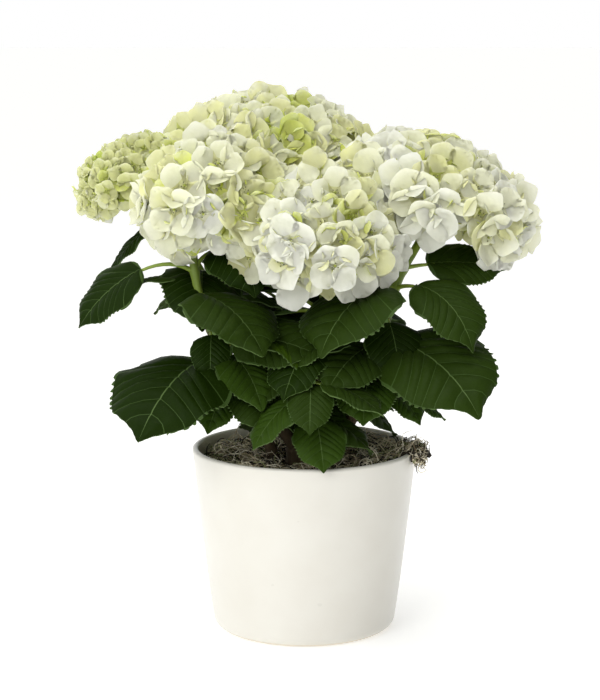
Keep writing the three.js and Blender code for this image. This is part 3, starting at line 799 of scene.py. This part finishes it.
for order, (name, mass) in enumerate([*canes.items(), *shoots.items()]):
    luck = np.random.default_rng(100 + order)
    leaves, twigs = Heap(), Heap()
    start = shareAt(mass["curve"], mass["bareTo"]) + 0.002 if "bareTo" in mass else 0.0
    addStem(twigs, mass, start, 1.0, 44, 1)
    for height, *pair in mass["pairs"]:
        share = shareAt(mass["curve"], height)
        foot = bezier(mass["curve"], [share])[0]
        for leaf in pair:
            number = leafTone(luck, height)
            addLeaf(leaves, twigs, foot, stemRadius(share), {**usualLeaf, **leaf}, luck, leaf.get("tone", number))
    for height, leaf in fillersOf(mass, luck):
        share = shareAt(mass["curve"], height)
        foot = bezier(mass["curve"], [share])[0]
        addLeaf(leaves, twigs, foot, stemRadius(share), leaf, luck, leafTone(luck, height))
    leaves.build("leaves_" + name, leafFinishes, "leaf", "foliage_" + name)
    twigs.build("twigs_" + name, [stalkGreen.material, bark.material], "leaf", "foliage_" + name, sharp=70)
print("leaves out")


# blooms

blooms = {
    "left": {"centre": [-74, -36, 352], "radii": [57, 52, 48], "lean": [-18, -12],
             "floret": 17, "count": 58, "reach": 122, "seed": 11, "sink": 4, "green": 0.7},
    "far_left": {"centre": [-140, 30, 360], "radii": [49, 46, 39], "lean": [-22, 4],
                 "floret": 10, "count": 112, "reach": 112, "seed": 23, "sink": 6, "green": 1.8},
    "back": {"centre": [-29, 52, 378], "radii": [92, 64, 53], "lean": [2, 8],
             "floret": 17, "count": 94, "reach": 112, "seed": 37, "sink": 7, "green": 1.1},
    "front": {"centre": [14, -54, 324], "radii": [57, 50, 49], "lean": [10, -14],
              "floret": 18, "count": 52, "reach": 124, "seed": 41, "sink": 1, "green": 0.1},
    "right": {"centre": [107, 0, 348], "radii": [80, 64, 46], "lean": [21, -4],
              "floret": 18, "count": 74, "reach": 112, "seed": 59, "sink": 4, "green": 0.3},
}
sepal = {"rows": 5, "columns": 6, "thickness": 0.4, "width": 0.57, "claw": 0.5, "twist": 0.28, "overlap": 0.035}
button = {"bead": 0.075, "rise": 0.07, "anther": 0.035, "anthersOut": 0.12, "anthersUp": 0.14}  # in a floret's middle
layers = [(False, 1.0, 1.0, 0), (False, 0.5, 0.9, -8), (True, 1.3, 0.6, -5)]  # young, share of the count, size, level
poise = {"aside": 0.3, "asideHigh": 0.5, "away": 0.15, "scatter": 0.7, "forward": 0.4}  # how florets turn
limeness = {"high": 0.5, "near": 0.6, "spot": 1.7, "spread": 0.3, "deep": 0.16, "young": 1.2}  # what makes them greener
heart = np.array([-8, 5, 300])  # florets turn a little away from here
limeSpots = [(-14, 396, 17), (103, 376, 16), (-107, 364, 14), (-44, 355, 14), (34, 350, 14)]  # x, z and reach
goldenTurn = 2.399963


def turned(axis, angle):
    a = math.radians(angle)
    c, s = math.cos(a), math.sin(a)
    return np.array({"x": [[1, 0, 0], [0, c, -s], [0, s, c]], "y": [[c, 0, s], [0, 1, 0], [-s, 0, c]]}[axis])


def aimed(facing, spin):  # columns: along, across and out of a floret
    x = np.cross([0.3, 1, 0.2], facing)
    x /= np.linalg.norm(x)
    y = np.cross(facing, x)
    c, s = math.cos(spin), math.sin(spin)
    return np.stack([x * c + y * s, y * c - x * s, facing], 1)


def domeOf(bloom):
    return turned("x", -bloom["lean"][1]) @ turned("y", bloom["lean"][0]) @ np.diag(bloom["radii"])


domes = {name: (np.array(bloom["centre"], float), domeOf(bloom)) for name, bloom in blooms.items()}
melt = 12  # how softly neighbouring blooms run together


def depths(place):  # how far outside each bloom's dome a point is
    return {name: (np.linalg.norm(np.linalg.solve(dome, place - centre)) - 1) * np.linalg.det(dome) ** (1 / 3)
            for name, (centre, dome) in domes.items()}


def outside(place):
    return -melt * math.log(sum(math.exp(-depth / melt) for depth in depths(place).values()))


def onSkin(centre, ray, level):  # where a ray from a bloom's centre leaves the joined mass
    low, high = 0.5, 1.8
    for _ in range(14):
        middle = (low + high) / 2
        if outside(centre + ray * middle) < level:
            low = middle
        else:
            high = middle
    return centre + ray * low


def skinFacing(place):
    slope = np.array([outside(place + step) - outside(place - step) for step in np.eye(3)])
    return slope / np.linalg.norm(slope)


u, v = np.meshgrid(np.linspace(-1, 1, sepal["rows"]), np.linspace(-1, 1, sepal["columns"]), indexing="ij")
disc = np.stack([u * np.sqrt(1 - v * v / 2), v * np.sqrt(1 - u * u / 2)])  # the grid pressed into a disc


def addSepal(heap, place, aim, size, quarter, cup, colour, luck):
    around = np.arctan2(disc[1], disc[0])
    rim = np.hypot(disc[0], disc[1])
    pointed = luck.uniform(0, 0.12) * np.maximum(np.cos(around), 0) ** 5
    bulge = 1 + rim ** 3 * (pointed + 0.05 * np.sin(5 * around + luck.uniform(0, 6)))
    a = (disc[0] * bulge + 1) / 2  # 0 at the claw, 1 at the rim
    claw = sepal["claw"] + (1 - sepal["claw"]) * np.minimum(a / luck.uniform(0.35, 0.5), 1)
    x = size * luck.uniform(0.9, 1.08) * a
    y = size * sepal["width"] * luck.uniform(0.9, 1.12) * disc[1] * bulge * claw
    ruffle = luck.uniform(0.03, 0.09) * np.sin(luck.integers(3, 6) * around + luck.uniform(0, 6)) * rim ** 4
    curl = luck.uniform(0.0, 0.2) * a ** 5
    z = size * (0.05 * a + cup * a * a - curl + 0.22 * disc[1] ** 2 * a + ruffle)
    z += y * a * sepal["twist"] * luck.uniform(-1, 1)
    z += size * sepal["overlap"] * (1 if quarter % 2 else -1) * np.minimum(2 * a, 1)
    turn = (quarter + luck.uniform(-0.08, 0.08)) * math.pi / 2
    c, s = math.cos(turn), math.sin(turn)
    local = np.stack([x * c - y * s, x * s + y * c, z], -1)
    top = place + local @ aim.T
    under = top - aim[:, 2] * sepal["thickness"]
    tones = np.full((sepal["rows"] - 1, sepal["columns"] - 1), colour)
    tones[0] = min(colour + 1, 4)
    addSheet(heap, top, under, tones.ravel(), colour)


def addFloret(petals, stalks, place, facing, size, colour, hub, young, luck):
    aim = aimed(facing, luck.uniform(0, math.pi))
    cup = luck.uniform(0.3, 0.9) if young else luck.uniform(-0.1, 0.5)
    for quarter in range(4):
        shade = int(np.clip(colour + (luck.random() < 0.12), 0, 4))
        addSepal(petals, place, aim, size, quarter, cup + luck.uniform(-0.16, 0.16), shade, luck)
    bud = octa * size * button["bead"] + [0, 0, button["rise"] * size]
    petals.add(place + bud @ aim.T, (octaFaces, beadTone))
    for i in range(0 if young else 4):
        turn = (i + luck.uniform(0.2, 0.8)) * math.pi / 2
        spot = [button["anthersOut"] * math.cos(turn), button["anthersOut"] * math.sin(turn), button["anthersUp"]]
        anther = octa * size * button["anther"] + np.array(spot) * size
        petals.add(place + anther @ aim.T, (octaFaces, stamenTone))
    path = bezier([hub, hub + 0.55 * (place - hub) - 3 * facing, place + 0.02 * size * facing], np.linspace(0, 1, 6))
    addTube(stalks, path, np.linspace(1.3, 0.8, 6), 0, 5)


def addBloom(name, petals, stalks):
    bloom = blooms[name]
    luck = np.random.default_rng(bloom["seed"])
    dome = domeOf(bloom)
    centre = np.array(bloom["centre"], float)
    tip = bezier(canes[name]["curve"], [1.0])[0]
    before = bezier(canes[name]["curve"], [0.97])[0]
    onward = (tip - before) / np.linalg.norm(tip - before)
    hub = centre - dome @ np.array([0, 0, 0.35])
    path = bezier([tip, tip + 8 * onward, hub], np.linspace(0, 1, 8))
    addTube(stalks, path, np.linspace(3.3, 3.0, 8), 1, 10)
    lowest = math.cos(math.radians(bloom["reach"]))
    for young, share, scale, level in layers:
        count = round(bloom["count"] * share)
        for i in range(count):
            high = 1 - (1 - lowest) * (i + 0.5) / count
            turn = i * goldenTurn + 0.35 * (luck.random() - 0.5) - 0.4 * level
            flat = math.sqrt(1 - high * high)
            spot = np.array([flat * math.cos(turn), flat * math.sin(turn), high])
            place = onSkin(centre, dome @ spot, level - bloom["sink"] - 2.5 * max(high, 0) - 5 * luck.random())
            own = depths(place)
            gap = min(depth for other, depth in own.items() if other != name) - own[name]
            if gap < -2:
                continue
            near = math.exp(-(max(gap, 0) / 12) ** 2)  # 1 beside a neighbouring bloom
            aside = (place - centre) * [1, 1, 0]
            aside /= np.linalg.norm(aside)
            away = (place - heart) / np.linalg.norm(place - heart)
            facing = skinFacing(place) + (poise["aside"] + poise["asideHigh"] * max(high, 0)) * aside \
                + poise["away"] * away + poise["scatter"] * (luck.random(3) - 0.5)
            facing /= np.linalg.norm(facing)
            facing[1] -= poise["forward"] * np.clip(0.9 - facing[1], 0, 1)
            facing /= np.linalg.norm(facing)
            size = bloom["floret"] * scale * luck.uniform(0.84, 1.12) * (1.1 - 0.16 * high)
            lime = max(math.exp(-((place[0] - x) ** 2 + (place[2] - z) ** 2) / r ** 2) for x, z, r in limeSpots)
            colour = bloom["green"] + limeness["high"] * high + limeness["near"] * near + limeness["spot"] * lime \
                + luck.normal(0, limeness["spread"]) - limeness["deep"] * level + limeness["young"] * young
            addFloret(petals, stalks, place, facing, size, int(np.clip(round(colour), 0, 4)), hub, young, luck)


for name in blooms:
    petals, stalks = Heap(), Heap()
    addBloom(name, petals, stalks)
    # the far-left bloom, the only one with florets under 12 mm, takes the darker copies as painted shade
    kind = "shadedPetal" if blooms[name]["floret"] < 12 else "petal"
    petals.build("florets_" + name, petalFinishes[kind], "petal", "bloom_" + name, sharp=75)
    stalks.build("stalks_" + name, [paleStalk.material, stalkGreen.material], "petal", "bloom_" + name, sharp=70)
print("blooms open")
